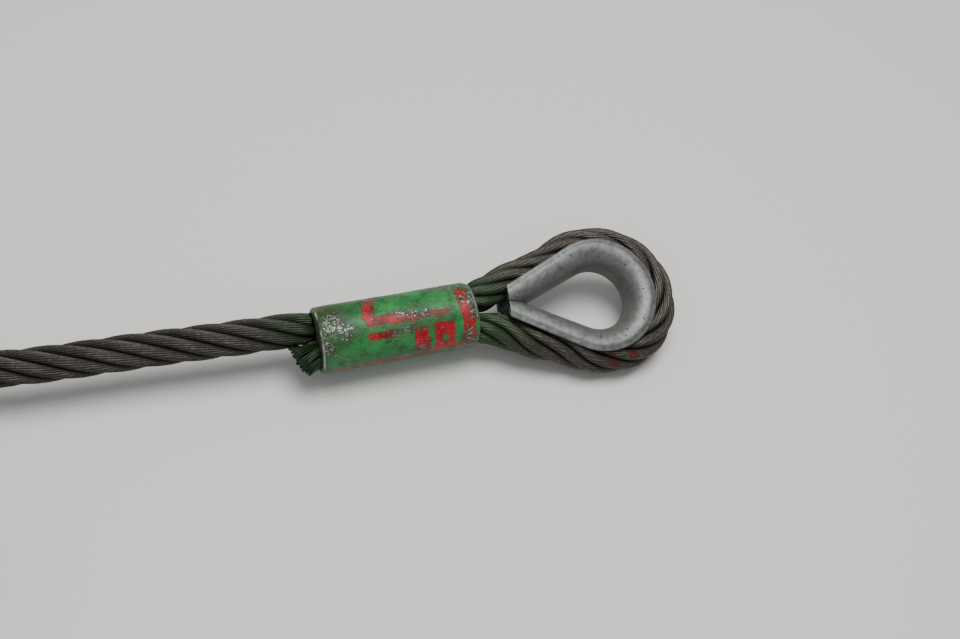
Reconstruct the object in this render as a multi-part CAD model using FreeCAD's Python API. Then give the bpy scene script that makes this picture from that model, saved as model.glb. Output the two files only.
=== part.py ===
import FreeCAD, Part
import math
import os

# Wire rope sling with a thimble eye at each end, in millimetres.
# The origin is on the axis of the pin that sits in eye A. +X runs along the sling
# towards the crown of eye A and +Z is up. The sling lies on a flat floor below the
# origin, and its middle is put away as one round turn of rope.

# Driving dimensions
ROPE_D = 12.0            # nominal diameter of the six-strand rope
PRESSED_D = 9.8          # diameter of each rope part squeezed inside a ferrule
PRESSED_PITCH = 10.0     # distance between the two rope parts in a ferrule
FERRULE_D = 23.0
FERRULE_L = 55.5
FERRULE_ROUND = 1.2      # rounding of the rim on the long-rope side
FERRULE_TAPER_L = 2.6    # length of the taper on the eye side
FERRULE_TAPER_H = 1.0    # height of that taper
FERRULE_GAP = 12.3       # from the ferrule's face to the thimble's tips
PIN_R = 11.5             # inside radius of the thimble's crown
LAND = 5.0               # width of the flat band that a pin bears on
WALL = 3.0               # thimble thickness at the bottom of its groove
LIP_WALL = 1.9           # thimble thickness at its lips
LIP_OUT = 0.6            # how far the lips reach past the middle of the rope
LIP_CHAMFER = 0.5
LEG_DEG = 27.5           # slope of each thimble leg to the sling's axis
THROAT_X = 34.3          # from the pin's axis back to the thimble's tips
GROOVE_PLAY = 0.4        # clearance between rope and groove
CROWN_PLAY = 3.8         # how far the rope stands off the thimble's crown
EYE_ROLL = 20.0          # the eye lies tipped on one side, in degrees
EYE_SLEW = 5.7           # and is bent to one side of the ferrule's axis, in degrees
AXIS_SHIFT = 3.0         # the ferrule's axis passes the pin's axis at this distance
NECK_DEG = {1: 9.0, -1: 13.0}   # slope of the rope where it leaves for each side of the eye
NECK_BEND_R = 60.0       # radius of the bend from the neck into the leg
DEAD_L = 9.5             # cut end that sticks out of the ferrule
DEAD_TILT = 12.0         # the cut end leans away from the long rope, in degrees
SPLAY = 4.0              # each of its strands leans out, in degrees
TAIL_TILT = {"a": 1.5, "b": -4.0}   # the long rope leaves each ferrule leaning the other way
NECK_L = 5.4             # length over which rope narrows to its pressed size
NECK_IN = 1.5            # the narrowing starts this far inside, and is cut off at the face
FIRST_RUN = 23.0         # the long rope leaves each ferrule straight for this far
FLEX_GAP = 3.4           # open gap where a rope bends, between two rope nodes
COIL_R = 67.0            # radius of the corners of the coil's twelve-sided route
COIL_SIDES = 12
COIL_PITCH = 13.0        # the turn's drop from its start, on its own end, to the floor
COIL_DESCENT = 120.0     # the part of the turn, in degrees, that this drop takes
COIL_X = -286.0          # centre of the turn
TANGENT_Y = 19.0         # where the rope runs into the turn
TAIL_B = 134.0           # from the end of the turn to ferrule B
AXIS_Y_B = 0.0           # the pin's axis at end B

# Worked out from the above
V = FreeCAD.Vector
ROPE_R = ROPE_D / 2
SEAT_R = PIN_R + WALL + ROPE_R + GROOVE_PLAY        # rope centre round the crown
FACE_X = THROAT_X + FERRULE_GAP                     # pin's axis to ferrule, eye side
BACK_X = FACE_X + FERRULE_L                         # pin's axis to ferrule, rope side
LIP_H = ROPE_R + GROOVE_PLAY + LIP_WALL             # half the thimble's width
LIP_R = SEAT_R + LIP_OUT - LIP_CHAMFER              # where its flat side ends
ROLL = math.radians(EYE_ROLL)
AXIS_H = LIP_R * math.sin(ROLL) + LIP_H * math.cos(ROLL)
FLOOR_Z = -AXIS_H
STEP = 360.0 / COIL_SIDES
COIL_MID_R = COIL_R * math.cos(math.radians(STEP / 2))
COIL_Y = TANGENT_Y - COIL_MID_R
LOW_Z = FLOOR_Z + ROPE_R
TOP_Z = LOW_Z + COIL_PITCH
BACK_X_B = COIL_X - TAIL_B

PLACE_A = FreeCAD.Placement(V(0, 0, 0), FreeCAD.Rotation(V(1, 0, 0), EYE_ROLL))
SLEW = FreeCAD.Placement(V(0, 0, 0), FreeCAD.Rotation(V(0, 0, 1), -EYE_SLEW))
TURN_B = FreeCAD.Rotation(V(0, 0, 1), 180.0)
PLACE_B = FreeCAD.Placement(
    V(BACK_X_B - BACK_X, AXIS_Y_B, 0),
    TURN_B.multiply(FreeCAD.Rotation(V(1, 0, 0), EYE_ROLL)),
)


def save(name, shape):
    """Write one node and print its volume."""
    if not shape.isValid():
        raise ValueError(name + " is not a valid shape")
    shape.exportStep("parts/" + name + ".step")
    print(name, "solids", len(shape.Solids), "volume", round(shape.Volume, 1))


def moved(shape, place):
    """A copy of a shape, put where a placement says."""
    copy = shape.copy()
    copy.Placement = place.multiply(copy.Placement)
    return copy


def rod(start, end, r_start, r_end):
    """A straight round bar, or a cone where the two radii differ."""
    run = end.sub(start)
    if abs(r_start - r_end) < 1e-6:
        return Part.makeCylinder(r_start, run.Length, start, run)
    return Part.makeCone(r_start, r_end, run.Length, start, run)


def bend(start, heading, centre, axis, degrees, radius):
    """A bar bent round an axis: a disc at start, swung about centre."""
    disc = Part.Face(Part.Wire(Part.Circle(start, heading, radius).toShape()))
    return disc.revolve(centre, axis, degrees)


def corner(before, point, after, bend_r=None):
    """The tangent arc at a corner of a route: start, end, centre, axis, degrees and radius."""
    way_in = point.sub(before).normalize()
    way_out = after.sub(point).normalize()
    turn = way_in.getAngle(way_out)
    if bend_r is None:
        shorter = min(point.sub(before).Length, after.sub(point).Length)
        reach = 0.45 * shorter
        bend_r = reach / math.tan(turn / 2)
    else:
        reach = bend_r * math.tan(turn / 2)
    start = point.sub(way_in * reach)
    end = point.add(way_out * reach)
    axis = way_in.cross(way_out).normalize()
    centre = start.add(axis.cross(way_in) * bend_r)
    return start, end, centre, axis, math.degrees(turn), bend_r


def narrowing(face, along, keep):
    """Rope that widens from its pressed size at a ferrule's face, cut off flush with that face."""
    slope = (ROPE_D - PRESSED_D) / 2 / NECK_L
    foot = face.sub(along * NECK_IN)
    cone = rod(foot, face.add(along * NECK_L), PRESSED_D / 2 - slope * NECK_IN, ROPE_R)
    return cone.common(keep)


def fused(solids):
    """One solid from bars that meet face to face."""
    whole = solids[0].multiFuse(solids[1:]).removeSplitter()
    return whole.Solids[0] if len(whole.Solids) == 1 else whole


def tube(route, start=None, end=None):
    """Straight runs joined by tangent arcs; start and end may lie inside the first and last run."""
    here = start or route[0]
    edges = []
    radii = []
    for i in range(1, len(route) - 1):
        a, b, centre, axis, degrees, bend_r = corner(route[i - 1], route[i], route[i + 1])
        out = route[i].sub(centre).normalize()
        edges.append(Part.LineSegment(here, a).toShape())
        edges.append(Part.Arc(a, centre.add(out * bend_r), b).toShape())
        radii.append(round(bend_r))
        here = b
    edges.append(Part.LineSegment(here, end or route[-1]).toShape())
    spine = Part.Wire(edges)
    ring = Part.Wire(Part.Circle(start or route[0], route[1].sub(route[0]), ROPE_R).toShape())
    whole = spine.makePipeShell([ring], True, False)
    share = whole.Volume / (math.pi * ROPE_R ** 2 * spine.Length)
    print("tube of", round(spine.Length, 1), "mm, radii", radii, "volume share", round(share, 5))
    return whole, spine.Length


# ---------------------------------------------------------------- one end of the sling
# Everything here is made in the end's own flat plane: X towards the crown, Y across the
# eye with the long rope's side positive, Z square to the eye.

def thimble_section():
    """The gutter's outline: X is the distance from the pin's axis, Y is across the gutter."""
    half_land = LAND / 2
    groove_r = ROPE_R + GROOVE_PLAY
    lip = LIP_H
    lip_x = SEAT_R + LIP_OUT
    shoulder_x = PIN_R + 7.0
    cheek = V(PIN_R + 2.3, half_land + 3.9, 0)
    flare = 0.15
    bottom = V(PIN_R + WALL, 0, 0)

    def mirrored(p):
        return V(p.x, -p.y, 0)

    land = V(PIN_R, half_land, 0)
    shoulder = V(shoulder_x, lip, 0)
    lip_back = V(LIP_R, lip, 0)
    lip_tip = V(lip_x, lip - LIP_CHAMFER, 0)
    lip_in = V(lip_x, groove_r + flare, 0)
    groove = V(SEAT_R, groove_r, 0)
    edges = [
        Part.LineSegment(mirrored(land), land).toShape(),
        Part.Arc(land, cheek, shoulder).toShape(),
        Part.LineSegment(shoulder, lip_back).toShape(),
        Part.LineSegment(lip_back, lip_tip).toShape(),
        Part.LineSegment(lip_tip, lip_in).toShape(),
        Part.LineSegment(lip_in, groove).toShape(),
        Part.Arc(groove, bottom, mirrored(groove)).toShape(),
        Part.LineSegment(mirrored(groove), mirrored(lip_in)).toShape(),
        Part.LineSegment(mirrored(lip_in), mirrored(lip_tip)).toShape(),
        Part.LineSegment(mirrored(lip_tip), mirrored(lip_back)).toShape(),
        Part.LineSegment(mirrored(lip_back), mirrored(shoulder)).toShape(),
        Part.Arc(mirrored(shoulder), mirrored(cheek), mirrored(land)).toShape(),
    ]
    return Part.Face(Part.Wire(edges))


def thimble():
    """A gutter bent round the crown, with two straight legs that close in a point."""
    upright = FreeCAD.Placement(V(0, 0, 0), FreeCAD.Rotation(V(1, 0, 0), 90.0))
    section = moved(thimble_section(), upright)
    lead = 90.0 + LEG_DEG
    start = section.copy()
    start.rotate(V(0, 0, 0), V(0, 0, 1), -lead)
    crown = start.revolve(V(0, 0, 0), V(0, 0, 1), 2 * lead)
    top = section.copy()
    top.rotate(V(0, 0, 0), V(0, 0, 1), lead)
    slope = math.radians(LEG_DEG)
    leg = top.extrude(V(-math.cos(slope), -math.sin(slope), 0) * 60)
    keep = Part.makeBox(THROAT_X + 20, 60, 40, V(-THROAT_X, 0, -20))
    leg = leg.common(keep)
    other = leg.mirror(V(0, 0, 0), V(0, 1, 0))
    return fused([crown, leg, other])


def ferrule():
    """A pressed sleeve with a hole for each rope part."""
    body = Part.makeCylinder(FERRULE_D / 2, FERRULE_L, V(-BACK_X, 0, 0), V(1, 0, 0))
    rim = [e for e in body.Edges if len(e.Vertexes) == 1 and abs(e.CenterOfMass.x + BACK_X) < 1e-3]
    body = body.makeFillet(FERRULE_ROUND, rim)
    wide = FERRULE_D / 2
    blank = Part.makeCylinder(wide + 1, FERRULE_TAPER_L, V(-FACE_X - FERRULE_TAPER_L, 0, 0), V(1, 0, 0))
    taper = Part.makeCone(
        wide, wide - FERRULE_TAPER_H, FERRULE_TAPER_L, V(-FACE_X - FERRULE_TAPER_L, 0, 0), V(1, 0, 0)
    )
    body = body.cut(blank.cut(taper))
    for side in (1, -1):
        start = V(-BACK_X - 1, side * PRESSED_PITCH / 2, 0)
        body = body.cut(Part.makeCylinder(PRESSED_D / 2, FERRULE_L + 2, start, V(1, 0, 0)))
    body.translate(V(0, AXIS_SHIFT, 0))
    return body


def pressed_part(side):
    """The rope inside the ferrule, on one side."""
    start = V(-BACK_X, AXIS_SHIFT + side * PRESSED_PITCH / 2, 0)
    return Part.makeCylinder(PRESSED_D / 2, FERRULE_L, start, V(1, 0, 0))


def half_eye(side):
    """The rope from the ferrule's face, out along one leg and round to the crown."""
    # made for the +Y side in the thimble's own plane, then mirrored and turned into place
    leg = math.radians(LEG_DEG)
    slew = FreeCAD.Rotation(V(0, 0, 1), EYE_SLEW)
    seen = slew.multVec(V(-FACE_X, AXIS_SHIFT + side * PRESSED_PITCH / 2, 0))
    face = V(seen.x, side * seen.y, 0)
    neck = math.radians(NECK_DEG[side] + side * EYE_SLEW)
    # the neck's line meets the leg's line, which passes SEAT_R from the pin's axis
    rise = math.cos(leg) * (face.y - face.x * math.tan(neck)) - SEAT_R
    x = rise / (math.sin(leg) - math.cos(leg) * math.tan(neck))
    knee = V(x, face.y + (x - face.x) * math.tan(neck), 0)
    touch = V(-SEAT_R * math.sin(leg), SEAT_R * math.cos(leg), 0)
    a, b, centre, axis, degrees, bend_r = corner(face, knee, touch, bend_r=NECK_BEND_R)
    along = knee.sub(face).normalize()
    narrow_end = face.add(along * NECK_L)
    top = V(0, SEAT_R, 0)
    shifted = V(CROWN_PLAY, SEAT_R, 0)
    down = V(0, 0, -1)
    print("eye rope leaves the neck", round(a.sub(narrow_end).Length, 2), "mm after it is full size",
          "turn", round(degrees, 1), "leg run", round(touch.sub(b).Length, 1))
    solids = [
        rod(narrow_end, a, ROPE_R, ROPE_R),
        bend(a, along, centre, axis, degrees, ROPE_R),
        rod(b, touch, ROPE_R, ROPE_R),
        bend(touch, touch.sub(b), V(0, 0, 0), down, LEG_DEG, ROPE_R),
        rod(top, shifted, ROPE_R, ROPE_R),
        bend(shifted, V(1, 0, 0), V(CROWN_PLAY, 0, 0), down, 90.0, ROPE_R),
    ]
    beyond = moved(Part.makeBox(60, 80, 40, V(-FACE_X, -40, -20)), FreeCAD.Placement(V(0, 0, 0), slew))
    if side < 0:
        solids = [s.mirror(V(0, 0, 0), V(0, 1, 0)) for s in solids]
        face = V(face.x, -face.y, 0)
        along = V(along.x, -along.y, 0)
    return [narrowing(face, along, beyond)] + solids


def eye_rope():
    """The rope round the thimble, from face to face of the ferrule."""
    whole = fused(half_eye(1) + half_eye(-1))
    return moved(whole, SLEW)


def dead_end():
    """The cut end of the rope: a core and six strands that fan out of the ferrule."""
    tilt = math.radians(DEAD_TILT)
    along = V(-math.cos(tilt), -math.sin(tilt), 0)
    across = V(-math.sin(tilt), math.cos(tilt), 0)
    up = V(0, 0, 1)
    centre = V(-BACK_X, AXIS_SHIFT - PRESSED_PITCH / 2, 0)
    strand_r = PRESSED_D / 6
    sink = 1.5
    outside = Part.makeBox(40, 60, 60, V(-BACK_X - 40, -30, -30))
    splay = math.tan(math.radians(SPLAY))
    strands = []
    for i in range(6):
        angle = math.radians(60 * i + 30)
        out = across * math.cos(angle) + up * math.sin(angle)
        foot = centre.sub(along * sink).add(out * (2 * strand_r))
        tip = centre.add(along * DEAD_L).add(out * (2 * strand_r + 0.2 + DEAD_L * splay))
        strands.append(rod(foot, tip, strand_r - 0.06, strand_r - 0.06).common(outside))
    core = rod(centre.sub(along * sink), centre.add(along * DEAD_L), strand_r, strand_r).common(outside)
    return Part.Compound(strands), core


def tail_start(letter, place):
    """Where the long rope leaves a ferrule, and its heading there."""
    tilt = math.radians(TAIL_TILT[letter])
    start = place.multVec(V(-BACK_X, AXIS_SHIFT + PRESSED_PITCH / 2, 0))
    heading = place.Rotation.multVec(V(-math.cos(tilt), math.sin(tilt), 0))
    return start, heading


def make_end(letter, place):
    """Write the nodes of one end of the sling."""
    save("thimble_" + letter, moved(moved(thimble(), SLEW), place))
    save("ferrule_" + letter, moved(ferrule(), place))
    save("eye_rope_" + letter, moved(eye_rope(), place))
    save("live_part_" + letter, moved(pressed_part(1), place))
    save("dead_part_" + letter, moved(pressed_part(-1), place))
    strands, core = dead_end()
    save("dead_end_strands_" + letter, moved(strands, place))
    save("dead_end_core_" + letter, moved(core, place))


# ---------------------------------------------------------------- the long rope
def coil_points():
    """Corners of one turn that starts on top of its own end and comes down to the floor."""
    points = []
    for i in range(COIL_SIDES):
        turned = STEP / 2 + STEP * i
        angle = math.radians(90.0 + turned)
        x = COIL_X + COIL_R * math.cos(angle)
        y = COIL_Y + COIL_R * math.sin(angle)
        t = min(turned / COIL_DESCENT, 1.0)
        points.append(V(x, y, TOP_Z - COIL_PITCH * t * t * (3 - 2 * t)))
    return points


def midpoint(a, b):
    return a.add(b) * 0.5


def long_rope():
    """The rope between the two ferrules, as five nodes."""
    start_a, heading_a = tail_start("a", PLACE_A)
    start_b, heading_b = tail_start("b", PLACE_B)
    neck_a = start_a.add(heading_a * NECK_L)
    neck_b = start_b.add(heading_b * NECK_L)
    run_a = [
        neck_a,
        start_a.add(heading_a * FIRST_RUN),
        V(-160, 10.0, 2.9),
        V(-192, 10.9, 2.9),
        V(-228, 13.7, 3.9),
        V(-266, TANGENT_Y, TOP_Z + 0.3),
    ]
    turn = coil_points()
    run_b = [
        V(COIL_X - 17.5, TANGENT_Y, LOW_Z),
        V(COIL_X - 45, TANGENT_Y - 3.5, LOW_Z + 0.6),
        V(COIL_X - 83, TANGENT_Y - 16.5, LOW_Z + 6.0),
        start_b.add(heading_b * FIRST_RUN),
        neck_b,
    ]
    route = run_a + turn + run_b
    first = len(run_a)
    last = first + len(turn)
    flex_a = midpoint(route[1], route[2])
    flex_b = midpoint(route[-4], route[-3])
    along_a = route[2].sub(route[1]).normalize()
    along_b = route[-3].sub(route[-4]).normalize()
    half_gap = FLEX_GAP / 2
    into = midpoint(route[first - 1], route[first])
    out_of = midpoint(route[last - 1], route[last])

    tail_a, l1 = tube(route[0:3], end=flex_a.sub(along_a * half_gap))
    rest_a, l2 = tube(route[1:first + 1], start=flex_a.add(along_a * half_gap), end=into)
    coil, l3 = tube(route[first - 1:last + 1], start=into, end=out_of)
    rest_b, l4 = tube(route[last - 1:-2], start=out_of, end=flex_b.sub(along_b * half_gap))
    tail_b, l5 = tube(route[-4:], start=flex_b.add(along_b * half_gap))
    behind = Part.makeBox(40, 80, 40, V(-BACK_X - 40, -40, -20))
    neck_solid_a = narrowing(start_a, heading_a, moved(behind, PLACE_A))
    neck_solid_b = narrowing(start_b, heading_b, moved(behind, PLACE_B))
    save("rope_tail_a", fused([tail_a, neck_solid_a]))
    save("rope_run_a", rest_a)
    save("rope_coil", coil)
    save("rope_run_b", rest_b)
    save("rope_tail_b", fused([tail_b, neck_solid_b]))
    free = l1 + l2 + l3 + l4 + l5 + 2 * (NECK_L + FLEX_GAP)
    print("rope between the ferrules", round(free, 1))
    print("sling, bearing point to bearing point", round(free + 2 * (BACK_X + PIN_R), 1))
    print("bends at", [tuple(round(c, 3) for c in p) for p in (flex_a, flex_b)])
    print("headings there", [tuple(round(c, 4) for c in p) for p in (along_a, along_b)])
    print("route", [tuple(round(c, 2) for c in p) for p in route])


os.makedirs("parts", exist_ok=True)
print("floor at", round(FLOOR_Z, 3), "end B at", PLACE_B.Base)
make_end("a", PLACE_A)
make_end("b", PLACE_B)
long_rope()
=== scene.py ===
# %% [markdown]
# # A wire rope sling with a thimble eye
#
# The sling is one steel wire rope. At each end it goes through a pressed ferrule, round a
# galvanised thimble and back into the ferrule. We load the packed CAD model as a fixed
# frame, then build what the eye looks for: strands made of wires, a broomed cut end,
# chipped paint and dull zinc. Everything is in metres, in the model's own frame.

# %% Load the frame
import math

import bmesh
import bpy
import numpy as np
from mathutils import Matrix, Vector


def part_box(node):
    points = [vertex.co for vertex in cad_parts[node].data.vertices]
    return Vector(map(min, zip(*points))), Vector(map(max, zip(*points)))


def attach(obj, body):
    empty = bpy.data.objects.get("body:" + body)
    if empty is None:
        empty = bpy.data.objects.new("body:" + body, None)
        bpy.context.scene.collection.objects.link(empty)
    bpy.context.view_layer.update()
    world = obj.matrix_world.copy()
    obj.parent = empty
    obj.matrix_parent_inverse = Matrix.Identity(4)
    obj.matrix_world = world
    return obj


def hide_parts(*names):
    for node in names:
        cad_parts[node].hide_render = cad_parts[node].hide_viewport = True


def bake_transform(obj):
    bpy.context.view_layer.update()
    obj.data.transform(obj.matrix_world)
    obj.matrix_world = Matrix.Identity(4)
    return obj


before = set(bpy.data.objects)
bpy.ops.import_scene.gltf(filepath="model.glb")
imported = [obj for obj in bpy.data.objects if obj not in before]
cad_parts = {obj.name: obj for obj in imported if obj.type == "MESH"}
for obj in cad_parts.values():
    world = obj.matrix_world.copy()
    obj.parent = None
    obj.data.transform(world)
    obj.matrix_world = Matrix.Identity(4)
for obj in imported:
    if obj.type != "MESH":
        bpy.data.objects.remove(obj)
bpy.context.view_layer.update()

MM = 0.001

# %% [markdown]
# ## The camera
#
# It looks down at the eye from in front, about 53 degrees above the floor, with its top
# leaning a little to the left, so the sling runs slightly uphill across the view. A
# normal lens keeps the perspective mild. We give the camera's own axes, because a tilted
# camera is easier to state that way than with three angles.

# %% Camera
CAMERA_PLACE = Vector((-0.1701, -0.2326, 0.3520))
CAMERA_RIGHT = Vector((0.943, -0.302, 0.139))
CAMERA_BACK = Vector((-0.287, -0.529, 0.799))
LENS = 46.9

back = CAMERA_BACK.normalized()
right = (CAMERA_RIGHT - CAMERA_RIGHT.dot(back) * back).normalized()
up = back.cross(right)
camera_data = bpy.data.cameras.new("camera")
camera_data.lens = LENS
camera_data.sensor_width = 36.0
camera_data.clip_start = 0.01
camera_data.clip_end = 20.0
camera = bpy.data.objects.new("camera", camera_data)
camera.matrix_world = Matrix((
    (right.x, up.x, back.x, CAMERA_PLACE.x),
    (right.y, up.y, back.y, CAMERA_PLACE.y),
    (right.z, up.z, back.z, CAMERA_PLACE.z),
    (0, 0, 0, 1),
))
bpy.context.scene.collection.objects.link(camera)
bpy.context.scene.camera = camera
print("camera is", round(CAMERA_PLACE.length, 3), "m from the eye")

# %% [markdown]
# ## Sizes that the pieces share
#
# These are the rope's and the fittings' real sizes. The floor's height comes from the
# frame: the thimble's lip rests on it.

# %% Sizes
ROPE_D = 12 * MM
ROPE_R = ROPE_D / 2
PRESSED_R = 4.9 * MM           # the rope's radius inside a ferrule
PRESSED_PITCH = 10 * MM        # between the two rope parts in a ferrule
NECK_L = 5.4 * MM              # the rope swells to its full size over this length
LAY = 76 * MM                  # a strand goes once round the rope in this length
WIRE_LAY = -31 * MM            # a wire goes once round its strand, the other way
STRANDS = 6
WIRES = 14                     # outer wires of a strand
FERRULE_R = 11.5 * MM
FERRULE_L = 55.5 * MM
FERRULE_BACK = -102.1 * MM     # the face that the long rope leaves
FERRULE_FACE = FERRULE_BACK + FERRULE_L
AXIS_SHIFT = 3.0 * MM          # from the pin's axis to the ferrule's
PIN_R = 11.5 * MM
SEAT_R = 20.9 * MM             # from the pin's axis to the middle of the rope
LEG = math.radians(27.5)
THROAT_X = 34.3 * MM
CROWN_PLAY = 3.8 * MM
EYE_SLEW = math.radians(5.7)
EYE_ROLL = math.radians(20.0)
END_B_X = -522.1 * MM
FLOOR_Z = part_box("thimble_a")[0].z
print("floor at", round(FLOOR_Z, 5))

# %% [markdown]
# Each end of the sling has a flat plane of its own, rolled about X. End B is end A turned
# half round about Z and moved. One matrix for each end puts a piece that is made in that
# plane in its place.

# %% Places of the two ends
PLACE = {
    "a": Matrix.Rotation(EYE_ROLL, 4, "X"),
    "b": Matrix.Translation((END_B_X, 0, 0))
    @ Matrix.Rotation(math.pi, 4, "Z")
    @ Matrix.Rotation(EYE_ROLL, 4, "X"),
}
SLEW = Matrix.Rotation(-EYE_SLEW, 4, "Z")


def put(points, matrix):
    """Points as rows, moved by a matrix."""
    m = np.array(matrix)
    return np.asarray(points) @ m[:3, :3].T + m[:3, 3]


def unit(v):
    """Rows scaled to length one."""
    v = np.asarray(v, float)
    return v / np.linalg.norm(v, axis=-1, keepdims=True)


print("ends at", [round(x, 4) for x in PLACE["b"].translation])

# %% [markdown]
# ## The long rope's route
#
# The rope is stiff, so it runs in one smooth line. The points are the ones that the CAD
# tube follows. The stretch that is out of sight is put away as one round turn, which a
# loop works out. A NURBS curve through this cage of points gives the real centre line.

# %% Route of the long rope
COIL_R = 67 * MM
COIL_SIDES = 12
COIL_X = -286 * MM
TANGENT_Y = 19 * MM
LOW_Z = FLOOR_Z + ROPE_R
COIL_DROP = 13 * MM
DROP_TURN = math.radians(120)

coil_y = TANGENT_Y - COIL_R * math.cos(math.pi / COIL_SIDES)
coil = []
for i in range(COIL_SIDES):
    turned = 2 * math.pi * (i + 0.5) / COIL_SIDES
    share = min(turned / DROP_TURN, 1.0)
    height = LOW_Z + COIL_DROP * (1 - share * share * (3 - 2 * share))
    angle = math.pi / 2 + turned
    coil.append((COIL_X + COIL_R * math.cos(angle), coil_y + COIL_R * math.sin(angle), height))

route = [
    (-0.1021, 0.00752, 0.00274),
    (-0.12509, 0.00808, 0.00294),
    (-0.160, 0.0100, 0.0029),
    (-0.192, 0.0109, 0.0029),
    (-0.228, 0.0137, 0.0039),
    (-0.266, 0.0190, 0.00432),
] + coil + [
    (-0.3035, 0.0190, LOW_Z),
    (-0.331, 0.0155, LOW_Z + 0.0006),
    (-0.369, 0.0025, LOW_Z + 0.0060),
    (-0.39706, -0.00601, 0.00219),
    (-0.420, -0.00752, 0.00274),
]


def smooth_line(points):
    """Dense points of the NURBS curve that has these control points."""
    data = bpy.data.curves.new("route", "CURVE")
    data.dimensions = "3D"
    spline = data.splines.new("NURBS")
    spline.points.add(len(points) - 1)
    for p, place in zip(spline.points, points):
        p.co = (*place, 1)
    spline.order_u = 3
    spline.use_endpoint_u = True
    data.resolution_u = 24
    holder = bpy.data.objects.new("route", data)
    mesh = bpy.data.meshes.new_from_object(holder)
    line = np.array([v.co for v in mesh.vertices], float)
    bpy.data.objects.remove(holder)
    bpy.data.meshes.remove(mesh)
    bpy.data.curves.remove(data)
    return line


def along(line):
    """Distance of each point from the line's start."""
    return np.concatenate([[0], np.cumsum(np.linalg.norm(np.diff(line, axis=0), axis=1))])


def spaced(line, step, start=0.0, end=None):
    """Points of a line at an even spacing, from one distance along it to another."""
    far = along(line)
    end = far[-1] if end is None else end
    count = max(2, int(round((end - start) / step)) + 1)
    at = np.linspace(start, end, count)
    return np.stack([np.interp(at, far, line[:, k]) for k in range(3)], axis=1), at


long_line = smooth_line(route)
LONG_L = along(long_line)[-1]
print("rope between the ferrules", round(LONG_L, 4), "m")

# %% [markdown]
# ## How a wire rope is built
#
# Six strands wind round the rope's centre in a right-hand helix, and in each strand the
# wires wind the other way, so the wires on top run nearly along the rope. A strand's
# cross-section is a ring of round wires, a fluted disc. We sweep that section along each
# strand's helix. The frame that turns with the centre line must not twist by itself, so
# it is carried along step by step.

# %% Strands from a centre line
def frames(line, first_up):
    """Tangents and two side directions that never twist about the line."""
    tangents = unit(np.gradient(line, axis=0))
    side = np.array(first_up, float)
    sides = np.empty_like(line)
    for i, t in enumerate(tangents):
        side = side - side.dot(t) * t
        side = side / np.linalg.norm(side)
        sides[i] = side
    return tangents, sides, np.cross(tangents, sides)


def strand_section(samples):
    """Radius of the fluted outline at each sample, for a strand of radius one."""
    pin = math.sin(math.pi / WIRES)
    wire = pin / (1 + pin)
    centre = 1 - wire
    angle = np.arange(samples * WIRES) * (2 * math.pi / (samples * WIRES))
    inside = (angle + math.pi / WIRES) % (2 * math.pi / WIRES) - math.pi / WIRES
    reach = centre * np.cos(inside)
    reach = reach + np.sqrt(np.maximum(wire * wire - (centre * np.sin(inside)) ** 2, 0))
    crest = (reach - reach.min()) / (reach.max() - reach.min())
    return angle, reach, crest


print("a strand's outline has", len(strand_section(6)[0]), "points")

# %% Six strands as one mesh
def rope_mesh(name, line, at, girth, first_up, samples=6, wobble=0.0, seed=1):
    """Six closed strands about a line. at is the phase distance and girth the size at each point."""
    tangents, u, v = frames(line, first_up)
    angle, reach, crest = strand_section(samples)
    around = len(angle)
    rng = np.random.default_rng(seed)
    points, faces, crown, lobes = [], [], [], []
    rings = len(line)
    for k in range(STRANDS):
        turn = 2 * math.pi * (at / LAY + k / STRANDS)
        out = np.cos(turn)[:, None] * u + np.sin(turn)[:, None] * v
        strand_r = ROPE_R / 3 * girth
        # strands are never laid quite evenly, so each one wanders a little
        drift = wobble * np.sin(at / (0.031 + 0.006 * rng.random()) + 6 * rng.random())
        middle = line + out * (2 * strand_r + drift)[:, None]
        t = unit(np.gradient(middle, axis=0))
        n = unit(out - (out * t).sum(1)[:, None] * t)
        b = np.cross(t, n)
        twist = 2 * math.pi * at / WIRE_LAY + rng.random() * 6
        phi = angle[None, :] + twist[:, None]
        size = 1.02 * strand_r[:, None] * reach[None, :]
        ring = middle[:, None, :] + size[..., None] * (
            np.cos(phi)[..., None] * n[:, None, :] + np.sin(phi)[..., None] * b[:, None, :]
        )
        first = len(points) * rings * around
        points.append(ring.reshape(-1, 3))
        crown.append(np.cos(phi).reshape(-1) * 0.5 + 0.5)
        lobes.append(np.tile(crest, rings))
        i = np.arange(rings - 1)[:, None] * around
        j = np.arange(around)[None, :]
        j2 = (j + 1) % around
        quads = np.stack([i + j, i + j2, i + around + j2, i + around + j], axis=-1) + first
        faces.append(quads.reshape(-1, 4))
        caps = [first + np.arange(around)[::-1], first + (rings - 1) * around + np.arange(around)]
        faces.append(caps)
    quads = np.concatenate([f for f in faces if isinstance(f, np.ndarray)])
    caps = [c for f in faces if isinstance(f, list) for c in f]
    polygons = [tuple(q) for q in quads.tolist()] + [tuple(c.tolist()) for c in caps]
    mesh = bpy.data.meshes.new(name)
    mesh.from_pydata(np.concatenate(points).tolist(), [], polygons)
    for title, values in (("crown", crown), ("crest", lobes)):
        layer = mesh.attributes.new(title, "FLOAT", "POINT")
        layer.data.foreach_set("value", np.concatenate(values).astype(np.float32))
    mesh.polygons.foreach_set("use_smooth", [True] * len(mesh.polygons))
    piece = bpy.data.objects.new(name, mesh)
    bpy.context.scene.collection.objects.link(piece)
    triangles = 2 * len(quads) + len(caps) * (around - 2)
    print(name, "triangles", triangles)
    return piece


# %% [markdown]
# ## The three stretches of long rope
#
# The rope bends where it leaves a ferrule, so it is made in three stretches: the first and
# the last hold those bends, and the middle stretch is the coil. The helix's phase counts
# from the same start in all three, so their strands meet.

# %% Build the long rope
CUT_1 = 150 * MM               # from ferrule A to the end of the first stretch
CUT_2 = LONG_L - 125 * MM

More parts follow.
